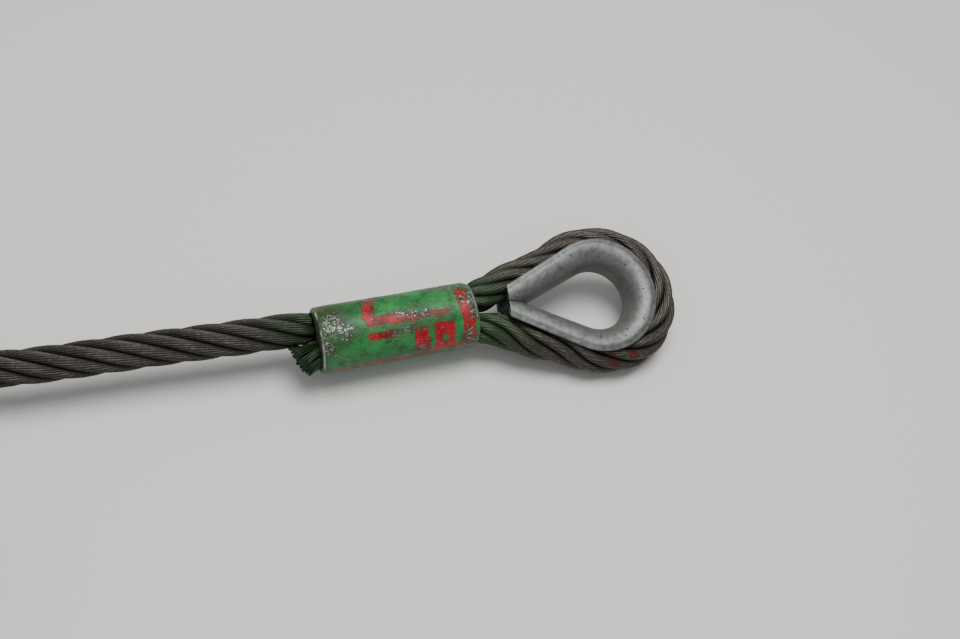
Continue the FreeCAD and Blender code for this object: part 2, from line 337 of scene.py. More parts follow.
guide_line, guide_at = spaced(long_line, 1 * MM)
guide_sides = frames(guide_line, (0, 0, 1))[1]


def girth_from(distance):
    """How full the rope is at a distance from the ferrule that squeezes it."""
    t = np.clip(distance / NECK_L, 0, 1)
    return PRESSED_R / ROPE_R + (1 - PRESSED_R / ROPE_R) * t * t * (3 - 2 * t)


def stretch(name, start, end, step, samples):
    """One stretch of the long rope, and the line that it follows."""
    line, at = spaced(long_line, step, start, end)
    girth = np.minimum(girth_from(at), girth_from(LONG_L - at))
    up_here = [np.interp(start, guide_at, guide_sides[:, k]) for k in range(3)]
    return rope_mesh(name, line, at, girth, up_here, samples, wobble=0.05 * MM, seed=4), line


rope_first, line_first = stretch("rope_first", 0.0, CUT_1, 1.1 * MM, 6)
rope_turn, line_turn = stretch("rope_turn", CUT_1, CUT_2, 2.0 * MM, 3)
rope_last, line_last = stretch("rope_last", CUT_2, LONG_L, 1.4 * MM, 4)

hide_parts("rope_tail_a", "rope_run_a")
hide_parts("rope_coil")
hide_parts("rope_run_b", "rope_tail_b")
BEND_A = Vector((-0.142546, 0.009042, 0.002921))
BEND_B = Vector((-0.350, 0.009, -0.005682))


def spread_bend(piece, place, line):
    """Find the rope's heading nearest a joint, then bake the rope's placement into its mesh."""
    i = int(np.argmin(np.linalg.norm(line - np.array(place), axis=1)))
    heading = Vector(unit(line[i + 3] - line[i - 3]))
    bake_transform(piece)


spread_bend(rope_first, BEND_A, line_first)
spread_bend(rope_last, BEND_B, line_last)
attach(rope_turn, "root")

# %% [markdown]
# ## The rope round each thimble
#
# It leaves the ferrule's two holes, bends outward, lies in the thimble's groove and
# stands a little off the crown, because stiff rope never closes up fully round a bend.
# The line is drawn like a turtle walking: straight runs and turns of a given radius.

# %% Line of the eye
NECK_DEG = {1: 9.0, -1: 13.0}
NECK_BEND_R = 60 * MM


def walk(place, heading, moves, step=0.5 * MM):
    """Points of a flat line made of (length, 0) straight runs and (radius, angle) turns."""
    points = [np.array(place, float)]
    for size, turn in moves:
        if turn == 0:
            count = max(1, int(size / step))
            ahead = np.array((math.cos(heading), math.sin(heading)))
            foot = points[-1]
            points += [foot + ahead * size * (k + 1) / count for k in range(count)]
            continue
        count = max(2, int(abs(turn) * size / step))
        centre = points[-1] + math.copysign(size, turn) * np.array((-math.sin(heading), math.cos(heading)))
        arm = points[-1] - centre
        for k in range(count):
            a = turn * (k + 1) / count
            c, s = math.cos(a), math.sin(a)
            points.append(centre + np.array((c * arm[0] - s * arm[1], s * arm[0] + c * arm[1])))
        heading += turn
    return np.array(points)


def half_eye(side):
    """From the ferrule to the crown on one side, in the thimble's own plane."""
    c, s = math.cos(EYE_SLEW), math.sin(EYE_SLEW)
    x, y = FERRULE_FACE, AXIS_SHIFT + side * PRESSED_PITCH / 2
    face = np.array((c * x - s * y, side * (s * x + c * y)))
    neck = math.radians(NECK_DEG[side]) + side * EYE_SLEW
    rise = math.cos(LEG) * (face[1] - face[0] * math.tan(neck)) - SEAT_R
    knee_x = rise / (math.sin(LEG) - math.cos(LEG) * math.tan(neck))
    knee = np.array((knee_x, face[1] + (knee_x - face[0]) * math.tan(neck)))
    touch = np.array((-SEAT_R * math.sin(LEG), SEAT_R * math.cos(LEG)))
    turn = LEG - neck
    reach = NECK_BEND_R * math.tan(turn / 2)
    moves = [
        (np.linalg.norm(knee - face) - reach, 0),
        (NECK_BEND_R, turn),
        (np.linalg.norm(touch - knee) - reach, 0),
        (SEAT_R, -LEG),
        (CROWN_PLAY, 0),
        (SEAT_R, -math.pi / 2),
    ]
    line = walk(face, neck, moves)
    line[:, 1] *= side
    return line


flat_eye = np.concatenate([half_eye(1), half_eye(-1)[-2::-1]])
eye_line, eye_at = spaced(np.column_stack([flat_eye, np.zeros(len(flat_eye))]), 1.0 * MM)
EYE_L = eye_at[-1]
# where the rope has sprung outward: distance along it, how far, and over what length
SPRUNG = [(18 * MM, 2.0 * MM, 9 * MM), (44 * MM, 0.7 * MM, 12 * MM), (EYE_L - 21 * MM, 2.5 * MM, 10 * MM)]
eye_ahead = frames(eye_line, (0, 0, 1))[0]
outward = np.column_stack([-eye_ahead[:, 1], eye_ahead[:, 0], np.zeros(len(eye_line))])
for centre, far, spread in SPRUNG:
    eye_line = eye_line + outward * (far * np.exp(-((eye_at - centre) / spread) ** 2))[:, None]
print("rope round the eye", round(EYE_L, 4), "m")

# %% Rope round each eye
for end, matrix in PLACE.items():
    girth = np.minimum(girth_from(eye_at), girth_from(EYE_L - eye_at))
    place = put(eye_line, matrix @ SLEW)
    plane_up = np.array(matrix)[:3, 2]
    eye_rope = rope_mesh("rope_eye_" + end, place, eye_at + 31 * MM, girth, plane_up, 5, 0.06 * MM, seed=9)
    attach(eye_rope, "end_" + end)
    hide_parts("eye_rope_" + end)

# %% [markdown]
# ## The broomed cut ends
#
# The rope's cut end sticks out of the ferrule beside the long rope. Its wires have
# sprung apart a little, and the cut is slanted and ragged. Each wire is a thin bar of
# its own that follows the rope's lay and leans out.

# %% Round bars
def bars(name, lines, radius, sides=6):
    """One mesh of round bars, one for each line of points."""
    points, polygons = [], []
    for line in lines:
        tangents, u, v = frames(line, (0.01, 0.02, 1))
        first = len(points)
        for i in range(len(line)):
            for k in range(sides):
                a = 2 * math.pi * k / sides
                points.append(line[i] + radius * (math.cos(a) * u[i] + math.sin(a) * v[i]))
        for i in range(len(line) - 1):
            for k in range(sides):
                a, b = first + i * sides + k, first + i * sides + (k + 1) % sides
                polygons.append((a, b, b + sides, a + sides))
        last = first + (len(line) - 1) * sides
        polygons.append(tuple(first + k for k in reversed(range(sides))))
        polygons.append(tuple(last + k for k in range(sides)))
    mesh = bpy.data.meshes.new(name)
    mesh.from_pydata([tuple(p) for p in points], [], polygons)
    mesh.polygons.foreach_set("use_smooth", [len(p) == 4 for p in polygons])
    piece = bpy.data.objects.new(name, mesh)
    bpy.context.scene.collection.objects.link(piece)
    print(name, len(lines), "wires")
    return piece


# %% Lines of the cut wires
DEAD_TILT = math.radians(9)
DEAD_L = 7.4 * MM
WIRE_R = 0.34 * MM
STRAND_RING = 3.25 * MM        # from the rope's middle to a strand's
OUTER_WIRES, OUTER_RING = 12, 1.22 * MM
INNER_WIRES, INNER_RING = 5, 0.55 * MM


def cut_end_lines(seed):
    """Centre lines of the cut end's wires, in the end's plane."""
    rng = np.random.default_rng(seed)
    ahead = np.array((-math.cos(DEAD_TILT), -math.sin(DEAD_TILT), 0))
    across = np.array((-math.sin(DEAD_TILT), math.cos(DEAD_TILT), 0))
    foot = np.array((FERRULE_BACK, AXIS_SHIFT - PRESSED_PITCH / 2, 0))
    lines = []
    for strand in range(STRANDS + 1):
        middle_r = 0.0 if strand == STRANDS else STRAND_RING
        strand_angle = 2 * math.pi * (strand / STRANDS + 0.06)
        lean = 0.10 + 0.10 * rng.random()
        for wire in range(OUTER_WIRES + INNER_WIRES):
            outer = wire < OUTER_WIRES
            r = OUTER_RING if outer else INNER_RING
            a = 2 * math.pi * wire / (OUTER_WIRES if outer else INNER_WIRES) + 0.3 * rng.random()
            spring = rng.normal(0, 0.30 * MM, 2)
            y0 = middle_r * math.cos(strand_angle) + r * math.cos(a)
            z0 = middle_r * math.sin(strand_angle) + r * math.sin(a)
            long = DEAD_L * (0.86 + 0.16 * rng.random()) + 0.32 * y0 - 0.12 * z0
            wire_line = []
            for t in np.linspace(0, 1, 7):
                s = -1.5 * MM + t * (long + 1.5 * MM)
                turn = 2 * math.pi * max(s, 0) / LAY
                grow = 1 + lean * max(s, 0) / DEAD_L * (1 + t)
                y = (y0 * math.cos(turn) - z0 * math.sin(turn)) * grow + spring[0] * t * t
                z = (y0 * math.sin(turn) + z0 * math.cos(turn)) * grow + spring[1] * t * t
                wire_line.append(foot + ahead * s + across * y + np.array((0, 0, z)))
            lines.append(np.array(wire_line))
    return lines


print("a cut end has", len(cut_end_lines(seed=17)), "lines")

# %% Cut ends
for end, matrix in PLACE.items():
    lines = [put(line, matrix) for line in cut_end_lines(seed=17 if end == "a" else 23)]
    cut_end = bars("cut_end_" + end, lines, WIRE_R)
    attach(cut_end, "end_" + end)
    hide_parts("dead_end_strands_" + end, "dead_end_core_" + end)

# %% [markdown]
# ## The pressed ferrules
#
# A ferrule is a tube of soft metal squeezed round both ropes in a press. We turn its
# outline round the axis, push the surface about with a few shallow dents, and bore the
# two holes with Boolean modifiers. Two attributes keep each point's place on the skin,
# in millimetres, so the paint can be laid out like a map.

# %% Ferrule outline
RIM_ROUND = 1.2 * MM
TAPER_L = 2.6 * MM
TAPER_H = 1.0 * MM
# the side turned to the viewer, from +Z towards -Y, in the end's plane
FACING = math.radians(33.5) - EYE_ROLL


def ferrule_outline():
    """(place along the axis, radius) from the middle of one face to the middle of the other."""
    outline = [(0.0, FERRULE_R * k / 8) for k in range(1, 7)]
    for k in range(7):
        a = math.pi / 2 * k / 6
        outline.append((RIM_ROUND * (1 - math.cos(a)), FERRULE_R - RIM_ROUND * (1 - math.sin(a))))
    body = FERRULE_L - TAPER_L
    outline += [(RIM_ROUND + (body - RIM_ROUND) * k / 110, FERRULE_R) for k in range(1, 110)]
    for k in range(9):
        t = k / 8
        outline.append((body + TAPER_L * t, FERRULE_R - TAPER_H * t ** 1.6))
    outline += [(FERRULE_L, (FERRULE_R - TAPER_H) * k / 8) for k in range(7, 0, -1)]
    return outline


print("ferrule outline has", len(ferrule_outline()), "points")

# %% Ferrule mesh
# place along, place around (degrees from the viewer's side), size and depth of each dent
DENTS = [
    (1.5, 2, 3.4, 0.42), (9, 24, 5.5, 0.28), (20, -30, 7, 0.22), (33, 15, 9, 0.20),
    (41, -20, 6, 0.25), (52, 32, 4, 0.30), (28, 70, 8, 0.22), (46, 150, 7, 0.3), (14, 190, 8, 0.25),
]


def ferrule_mesh(end):
    """A ferrule in its end's plane, before its two holes are bored."""
    around = 160
    outline = ferrule_outline()
    rng = np.random.default_rng(3)
    ripple = rng.random(6) * 6
    points = []
    for x, r in outline:
        for k in range(around):
            a = 2 * math.pi * k / around
            # a is measured from the viewer's side, towards the far side
            bump = 0.0
            for dx, da, size, depth in DENTS:
                turn = math.remainder(a - math.radians(da), 2 * math.pi) * FERRULE_R / MM
                away = ((x / MM - dx) ** 2 + turn ** 2) / size ** 2
                bump -= depth * math.exp(-2.2 * away) if away < 4 else 0.0
            bump += 0.05 * math.sin(2 * a + ripple[0]) + 0.03 * math.sin(x / (3.1 * MM) + 3 * a + ripple[1])
            bump += 0.025 * math.sin(x / (1.3 * MM) - 5 * a + ripple[2]) * math.sin(7 * a + ripple[3])
            radius = r + bump * MM * min(1.0, (r / FERRULE_R) ** 4)
            height = a + math.pi / 2 - FACING
            worn = 0.12 * MM * math.sin(3 * a + ripple[4]) * (r / FERRULE_R) ** 2 if x < 0.3 * MM else 0.0
            y, z = AXIS_SHIFT - radius * math.cos(height), radius * math.sin(height)
            points.append((FERRULE_BACK + x + worn, y, z))
    rings = len(outline)
    polygons = []
    for i in range(rings - 1):
        for k in range(around):
            a, b = i * around + k, i * around + (k + 1) % around
            polygons.append((a, b, b + around, a + around))
    polygons.append(tuple(reversed(range(around))))
    polygons.append(tuple((rings - 1) * around + k for k in range(around)))
    mesh = bpy.data.meshes.new("ferrule_shell_" + end)
    mesh.from_pydata(points, [], polygons)
    piece = bpy.data.objects.new("ferrule_shell_" + end, mesh)
    bpy.context.scene.collection.objects.link(piece)
    fix = bmesh.new()
    fix.from_mesh(mesh)
    bmesh.ops.recalc_face_normals(fix, faces=fix.faces)
    fix.to_mesh(mesh)
    fix.free()
    return piece


print("dents", len(DENTS))

# %% Holes and map of a ferrule
def bore(piece, side):
    """Cut the hole of one rope part through a ferrule."""
    drill = bmesh.new()
    bmesh.ops.create_cone(
        drill, cap_ends=True, segments=72, radius1=PRESSED_R, radius2=PRESSED_R, depth=FERRULE_L + 8 * MM,
        matrix=Matrix.Translation((FERRULE_BACK + FERRULE_L / 2, AXIS_SHIFT + side * PRESSED_PITCH / 2, 0))
        @ Matrix.Rotation(math.pi / 2, 4, "Y"),
    )
    cutter_mesh = bpy.data.meshes.new("drill")
    drill.to_mesh(cutter_mesh)
    drill.free()
    cutter = bpy.data.objects.new("drill", cutter_mesh)
    bpy.context.scene.collection.objects.link(cutter)
    modifier = piece.modifiers.new("bore", "BOOLEAN")
    modifier.operation = "DIFFERENCE"
    modifier.solver = "EXACT"
    modifier.object = cutter
    bored = bpy.data.meshes.new_from_object(piece.evaluated_get(bpy.context.evaluated_depsgraph_get()))
    piece.modifiers.clear()
    piece.data = bored
    bpy.data.objects.remove(cutter)


def mark_skin(piece):
    """Write each point's place on the skin, in millimetres, as two attributes."""
    mesh = piece.data
    co = np.empty(len(mesh.vertices) * 3, np.float32)
    mesh.vertices.foreach_get("co", co)
    co = co.reshape(-1, 3)
    y, z = co[:, 1] - AXIS_SHIFT, co[:, 2]
    angle = np.arctan2(z, -y) - math.pi / 2 + FACING
    angle = (angle + math.pi) % (2 * math.pi) - math.pi
    values = {"length": (co[:, 0] - FERRULE_BACK) / MM, "girth": angle * FERRULE_R / MM}
    for title, value in values.items():
        layer = mesh.attributes.new(title, "FLOAT", "POINT")
        layer.data.foreach_set("value", value.astype(np.float32))

# %% Both ferrules
for end, matrix in PLACE.items():
    ferrule = ferrule_mesh(end)
    bore(ferrule, 1)
    bore(ferrule, -1)
    mark_skin(ferrule)
    ferrule.data.polygons.foreach_set("use_smooth", [True] * len(ferrule.data.polygons))
    ferrule.data.transform(matrix)
    ferrule.data.set_sharp_from_angle(angle=math.radians(42))
    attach(ferrule, "end_" + end)
    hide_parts("ferrule_" + end)
    print(ferrule.name, "faces", len(ferrule.data.polygons))

# %% [markdown]
# ## The thimbles
#
# A thimble is a steel gutter bent round to a teardrop, with its two tips cut off square
# and a narrow gap between them at the throat. We sweep the gutter's section round half of
# the eye, trim it at the middle plane and at the tips, and mirror it.

# %% Thimble section
GROOVE_R = 6.4 * MM
LIP_R = 21.0 * MM              # how far the lip's edge is from the pin's axis
LIP_H = 8.3 * MM               # half the thimble's width
LAND_H = 2.5 * MM
LIP_CURL = 0.8 * MM
TIP_THINNING = 1.2 * MM        # the gutter's floor gets thinner towards the tips,
THINNING_RUN = 28 * MM         # over this length of each leg,
THINNING_DEPTH = 4 * MM        # and less so this far out from the floor's face
TIP_GAP = 0.3 * MM
BEND_R = 7.0 * MM              # the rounding from the land up to the lip
BEND_X = PIN_R + BEND_R
BEND_Z = LIP_H - BEND_R


def thimble_section():
    """(distance from the pin's axis, height) round the closed section, from the land's middle."""
    outline = [(PIN_R, 0.0), (PIN_R, LAND_H * 0.55)]
    outline += [(BEND_X + BEND_R * math.cos(a), BEND_Z + BEND_R * math.sin(a))
                for a in np.radians(np.linspace(181, 84, 17))]
    outline += [(LIP_R - 1.6 * MM, LIP_H - 0.12 * MM), (LIP_R - 0.6 * MM, LIP_H - 0.35 * MM)]
    curl = LIP_CURL / 2
    for k in range(1, 7):
        a = math.pi / 2 - math.pi * k / 6
        outline.append((LIP_R - curl + curl * math.cos(a), LIP_H - LIP_CURL + curl * math.sin(a)))
    for a in np.radians(np.linspace(80, 0, 15)):
        outline.append((SEAT_R - GROOVE_R * math.cos(a), GROOVE_R * math.sin(a)))
    lower = [(r, -h) for r, h in reversed(outline[1:-1])]
    return np.array(outline + lower)


section = thimble_section()
print("section", len(section), "points, wall", round((section[:, 0].max() - PIN_R) / MM, 1), "mm deep")

# %% [markdown]
# Every point of the sweep keeps how far across the gutter it is, because the zinc is
# rougher and browner at the inner edge.

# %% Thimble mesh
def thimble_mesh(name):
    """A thimble in its own plane, with the pin's axis at the origin."""
    stations = []
    for angle in np.radians(np.arange(-6, 117.6, 1.5)):
        stations.append((angle, 0.0))
    top = math.pi / 2 + LEG
    stations += [(top, run) for run in np.arange(0, 46, 0.9) * MM]
    points = []
    for angle, run in stations:
        out = np.array((math.cos(angle), math.sin(angle), 0))
        ahead = np.array((-math.sin(angle), math.cos(angle), 0))
        thin = min(run / THINNING_RUN, 1.0)
        for r, h in section:
            r = r + TIP_THINNING * thin * max(0.0, 1 - (r - PIN_R) / THINNING_DEPTH)
            points.append(out * r + ahead * run + np.array((0, 0, h)))
    count = len(section)
    polygons = []
    for i in range(len(stations) - 1):
        for k in range(count):
            a, b = i * count + k, i * count + (k + 1) % count
            polygons.append((a, b, b + count, a + count))
    polygons.append(tuple(reversed(range(count))))
    polygons.append(tuple((len(stations) - 1) * count + k for k in range(count)))
    half = bmesh.new()
    across = half.verts.layers.float.new("across")
    for i, p in enumerate(points):
        v = half.verts.new(p)
        v[across] = (section[i % count][0] - PIN_R) / (LIP_R - PIN_R)
    half.verts.ensure_lookup_table()
    for polygon in polygons:
        half.faces.new([half.verts[i] for i in polygon])
    bmesh.ops.recalc_face_normals(half, faces=half.faces)

    def geometry():
        return list(half.verts) + list(half.edges) + list(half.faces)

    # the two tips nearly touch: the first plane leans, so that they gape by a hair
    trims = (
        ((-THROAT_X, TIP_GAP / 2, 0), (-0.004, -1, 0)),
        ((-THROAT_X, 0, 0), (-1, 0, 0)),
    )
    for foot, facing in trims:
        bmesh.ops.bisect_plane(half, geom=geometry(), plane_co=foot, plane_no=facing, clear_outer=True)
    edges = [e for e in half.edges if e.is_boundary and e.verts[0].co.x < 0]
    bmesh.ops.holes_fill(half, edges=edges, sides=0)
    mirror = bmesh.ops.duplicate(half, geom=geometry())["geom"]
    for v in [g for g in mirror if isinstance(g, bmesh.types.BMVert)]:
        v.co.y = -v.co.y
    bmesh.ops.reverse_faces(half, faces=[g for g in mirror if isinstance(g, bmesh.types.BMFace)])
    crown = [v for v in half.verts if v.co.x > 0 and abs(v.co.y) < 0.4 * MM]
    for v in crown:
        v.co.y = 0
    bmesh.ops.remove_doubles(half, verts=crown, dist=0.02 * MM)
    bmesh.ops.recalc_face_normals(half, faces=half.faces)
    mesh = bpy.data.meshes.new(name)
    half.to_mesh(mesh)
    half.free()
    mesh.polygons.foreach_set("use_smooth", [True] * len(mesh.polygons))
    piece = bpy.data.objects.new(name, mesh)
    bpy.context.scene.collection.objects.link(piece)
    return piece

# %% Both thimbles
for end, matrix in PLACE.items():
    thimble = thimble_mesh("thimble_shell_" + end)
    thimble.data.transform(matrix @ SLEW)
    thimble.data.set_sharp_from_angle(angle=math.radians(38))
    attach(thimble, "thimble_" + end)
    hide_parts("thimble_" + end)
    print(thimble.name, "faces", len(thimble.data.polygons))

# %% [markdown]
# ## Sockets with operators
#
# A node graph is arithmetic, so we wrap a socket in a small class and write sums and
# products as such. Colours don't go through Math nodes, so they have a mixer of their own.
# `node` adds any other node: its type, its settings and then its inputs.

# %% Shader helper
class Socket:
    """A node socket that adds, subtracts and multiplies by making Math nodes."""

    def __init__(self, tree, socket):
        self.tree, self.socket = tree, socket

    def maths(self, operation, *values):
        return node(self.tree, "ShaderNodeMath", {"operation": operation}, *values)

    def __add__(self, other):
        return self.maths("ADD", self, other)

    def __radd__(self, other):
        return self.maths("ADD", other, self)

    def __sub__(self, other):
        return self.maths("SUBTRACT", self, other)

    def __rsub__(self, other):
        return self.maths("SUBTRACT", other, self)

    def __mul__(self, other):
        return self.maths("MULTIPLY", self, other)

    def __rmul__(self, other):
        return self.maths("MULTIPLY", other, self)

    def __abs__(self):
        return self.maths("ABSOLUTE", self)

    def at_most(self, other):
        return self.maths("MINIMUM", self, other)

    def at_least(self, other):
        return self.maths("MAXIMUM", self, other)

    def step(self, low, high):
        """A smooth rise from 0 at low to 1 at high."""
        settings = {"interpolation_type": "SMOOTHSTEP"}
        return node(self.tree, "ShaderNodeMapRange", settings, self, low, high)


def node(tree, kind, settings=None, *inputs, out=0, **named):
    """Add a node, set it up, feed its inputs in order and by name, and give one output."""
    made = tree.nodes.new(kind)
    for key, value in (settings or {}).items():
        setattr(made, key, value)
    pairs = [(made.inputs[i], value) for i, value in enumerate(inputs)]
    pairs += [(made.inputs[key.replace("_", " ")], value) for key, value in named.items()]
    for target, value in pairs:
        if isinstance(value, Socket):
            tree.links.new(value.socket, target)
        elif value is not None:
            target.default_value = value
    return Socket(tree, made.outputs[out])


print("reflected operators", [name for name in vars(Socket) if name.startswith("__r")])

# %% Colours and materials
def mix_colour(tree, share, low, high):
    """A colour between two colours, from a Mix node."""
    made = tree.nodes.new("ShaderNodeMix")
    made.data_type = "RGBA"
    shown = {s.name: s for s in made.inputs if s.enabled}
    for title, value in (("Factor", share), ("A", low), ("B", high)):
        target = shown[title]
        if isinstance(value, Socket):
            tree.links.new(value.socket, target)
        elif target.name == "Factor":
            target.default_value = value
        else:
            target.default_value = (*value, 1.0)
    return Socket(tree, next(s for s in made.outputs if s.enabled))


def new_material(title):
    """An empty Principled material and its parts."""
    material = bpy.data.materials.new(title)
    material.use_nodes = True
    tree = material.node_tree
    shader = next(n for n in tree.nodes if n.type == "BSDF_PRINCIPLED")
    return material, tree, shader


def feed(tree, shader, **values):
    """Set or link the shader's inputs."""
    for key, value in values.items():
        target = shader.inputs[key.replace("_", " ")]
        if isinstance(value, Socket):
            tree.links.new(value.socket, target)
        else:
            target.default_value = (*value, 1.0) if isinstance(value, tuple) else value


def noise(tree, place, scale, detail=4.0, rough=0.55):
    """Soft random values around 0.5."""
    return node(tree, "ShaderNodeTexNoise", None, Vector=place, Scale=scale, Detail=detail, Roughness=rough)


def attribute(tree, title):
    """A number that the mesh keeps at each point."""
    return node(tree, "ShaderNodeAttribute", {"attribute_name": title}, out=2)


def parts_of(tree, vector):
    """The x, y and z of a vector."""
    split = tree.nodes.new("ShaderNodeSeparateXYZ")
    tree.links.new(vector.socket, split.inputs[0])
    return [Socket(tree, s) for s in split.outputs]


def object_place(tree):
    """The place of each point, in metres."""
    return node(tree, "ShaderNodeTexCoord", out=3)


def srgb(r, g, b):
    """A linear colour from the 0 to 255 values that a screen shows."""
    return tuple(((c / 255 + 0.055) / 1.055) ** 2.4 if c > 10 else c / 255 / 12.92 for c in (r, g, b))


print("mid grey is", round(srgb(128, 128, 128)[0], 3), "in linear light")

# %% [markdown]
# ## Oily steel rope
#
# The rope is dull steel wire with oil and dirt between the strands. The colour follows two
# numbers that the mesh keeps: how far out a point is on the rope and on its strand. The
# hollows go nearly black, partly as that dirt and partly as painted shade, and the outer
# wire crests get painted highlights. Green paint lies on the rope near each ferrule, and
# two red spots are on eye A.

# %% Wire rope material
RED_SPOTS = [((-0.0006, -0.0250, -0.0034), 3.8 * MM), ((0.0070, -0.0240, -0.0022), 3.6 * MM)]

FERRULE_BACKS = (FERRULE_BACK, END_B_X - FERRULE_BACK)
FERRULE_MIDDLES = (FERRULE_BACK + FERRULE_L / 2, END_B_X - FERRULE_BACK - FERRULE_L / 2)


def rope_material(title, stranded=True, tint=0.0):
    """Steel with dirt; stranded rope also gets painted shade in its hollows and painted highlights on its
    wire crests. tint is how much green paint is on it everywhere.
    """
    material, tree, shader = new_material(title)
    place = object_place(tree)
    x, y, z = parts_of(tree, place)
    fine = noise(tree, place, 900.0)
    broad = noise(tree, place, 55.0)
    steel = mix_colour(tree, broad.step(0.3, 0.7), srgb(60, 57, 50), srgb(78, 73, 65))
    dirt = fine.step(0.42, 0.75)
    colour = mix_colour(tree, dirt * 0.55, steel, srgb(36, 33, 27))
    if stranded:
        crown, crest = attribute(tree, "crown"), attribute(tree, "crest")
        # painted shade and dirt: the hollows between the strands and between the wires go nearly black
        hollow_dirt_and_shade = 1 - crown.step(0.35, 0.85) * (0.35 + 0.65 * crest.step(0.05, 0.7))
        # painted highlight: lighter steel flecks on the outer crests of the wires
        painted_glint = crest.step(0.55, 0.95) * crown.step(0.55, 0.9) * noise(tree, place, 800.0).step(0.5, 0.62)
        colour = mix_colour(tree, painted_glint * 0.32, colour, srgb(140, 135, 121))
        colour = mix_colour(tree, hollow_dirt_and_shade, colour, srgb(14, 13, 10))
    near_a, near_b = (abs(x - middle).step(0.052, 0.028) for middle in FERRULE_MIDDLES)
    green = near_a.at_least(near_b) * noise(tree, place, 240.0).step(0.22, 0.52) * 0.85 + tint
    colour = mix_colour(tree, green.at_most(0.92), colour, srgb(27, 60, 27))
    wear = noise(tree, place, 900.0, 4.0, 0.7)
    for spot, reach in RED_SPOTS:
        dx, dy, dz = x - spot[0], y - spot[1], z - spot[2]
        away = dx * dx + dy * dy + dz * dz
        inside = away.step(reach * reach, 0.0) * 0.75 + (wear - 0.5) * 3.4
        splash = inside.step(0.42, 0.62) * away.step(reach * reach, reach * reach * 0.6)
        colour = mix_colour(tree, splash, colour, srgb(80, 26, 20))
    back_a, back_b = FERRULE_BACKS
    long_rope = x.step(back_a + 17 * MM, back_a - 13 * MM) * x.step(back_b - 17 * MM, back_b + 13 * MM)
    shade = 1 - 0.42 * long_rope
    bright = node(tree, "ShaderNodeVectorMath", {"operation": "SCALE"}, colour, Scale=shade)
    feed(tree, shader, Base_Color=bright, Metallic=0.5, Roughness=0.32 + 0.3 * fine)
    return material


wire_rope = rope_material("wire_rope")
cut_wire = rope_material("cut_wire", stranded=False, tint=0.6)
pressed_wire = rope_material("pressed_wire", stranded=False)
print("rope materials", [m.name for m in (wire_rope, cut_wire, pressed_wire)])

# %% [markdown]
# ## Dull zinc
#
# Hot-dip zinc has a faint spangle, cloudy patches and dark pits. Crystals are cells, so
# a Voronoi texture gives the spangle and noise gives the rest. The zinc is rougher and
# browner at the eye's inside, and the tips have caught some green paint.

# %% Zinc material
HALF_WAY = END_B_X / 2         # the sling's middle, along X
TIPS_X = -32 * MM              # the green on thimble A's tips ends about here


def zinc_material():
    """Galvanised steel. The across attribute says how far from the eye's inside a point is."""
    material, tree, shader = new_material("zinc")
    place = object_place(tree)
    cloud = noise(tree, place, 430.0, 6.0, 0.68)
    spangle = node(tree, "ShaderNodeTexVoronoi", None, Vector=place, Scale=520.0, out=1)
    grey = node(tree, "ShaderNodeRGBToBW", None, spangle)
    colour = mix_colour(tree, cloud.step(0.34, 0.66), srgb(84, 87, 86), srgb(118, 121, 119))
    colour = mix_colour(tree, grey * 0.28, colour, srgb(146, 149, 147))
    across = attribute(tree, "across")
    inner = (across + 0.16 * (noise(tree, place, 90.0) - 0.5)).step(0.50, 0.26)
    colour = mix_colour(tree, inner * 0.6, colour, srgb(112, 108, 106))
    pits = noise(tree, place, 620.0, 3.0, 0.6).step(0.62, 0.72)
    colour = mix_colour(tree, pits * 0.75, colour, srgb(52, 48, 44))
    x = parts_of(tree, place)[0]
    past_tips = abs(x - HALF_WAY) - (TIPS_X - HALF_WAY)
    tips = past_tips.step(3 * MM, -4 * MM) * noise(tree, place, 300.0, 4.0).step(0.42, 0.6)
    colour = mix_colour(tree, tips * 0.55, colour, srgb(70, 104, 66))
    skin = 0.6 * noise(tree, place, 480.0, 6.0, 0.62) + 0.4 * grey - pits * 0.5
    bump = node(tree, "ShaderNodeBump", None, Strength=0.45, Distance=0.00035, Height=skin)
    rough = 0.38 + 0.2 * cloud + 0.12 * inner
    feed(tree, shader, Base_Color=colour, Metallic=0.65, Roughness=rough, Normal=bump)
    return material


zinc = zinc_material()
print("zinc has", len(zinc.node_tree.nodes), "nodes")

# %% [markdown]
# ## Chipped paint
#
# The ferrule has bare metal, then red paint, then green paint. The map's two axes are
# millimetres along from the back rim and millimetres round from the side that faces up
# and forwards. Each patch is a soft box with ragged edges, made by bending the map with
# noise before measuring.

# %% Patches of paint
# middle along, middle round, half length, half width, lean in degrees
RED_PATCHES = [
    (18.2, 10.4, 1.9, 6.8, -14), (24.6, 2.9, 8.6, 1.6, -1.5), (38.6, 2.2, 6.2, 0.75, 0),
    (20.8, -2.3, 4.7, 1.0, -3), (34.4, -6.4, 2.5, 4.6, 4), (40.2, -6.2, 1.5, 5.0, -3),
    (44.8, -6.0, 1.4, 4.8, 3), (42.6, -3.2, 2.6, 2.3, 0), (42.2, -10.2, 2.6, 1.5, 8),
    (51.3, 0.0, 2.1, 10.8, 4), (15.5, -14.2, 13.0, 0.9, 5), (41.5, -12.2, 13.0, 0.9, 6),
    (47.5, 16.4, 1.6, 1.3, 0), (21.0, 19.0, 2.2, 1.6, 30), (9.0, 52.0, 5.0, 1.4, 10),
    (30.0, 60.0, 1.6, 9.0, 12), (47.0, -50.0, 2.0, 7.0, -8),
]
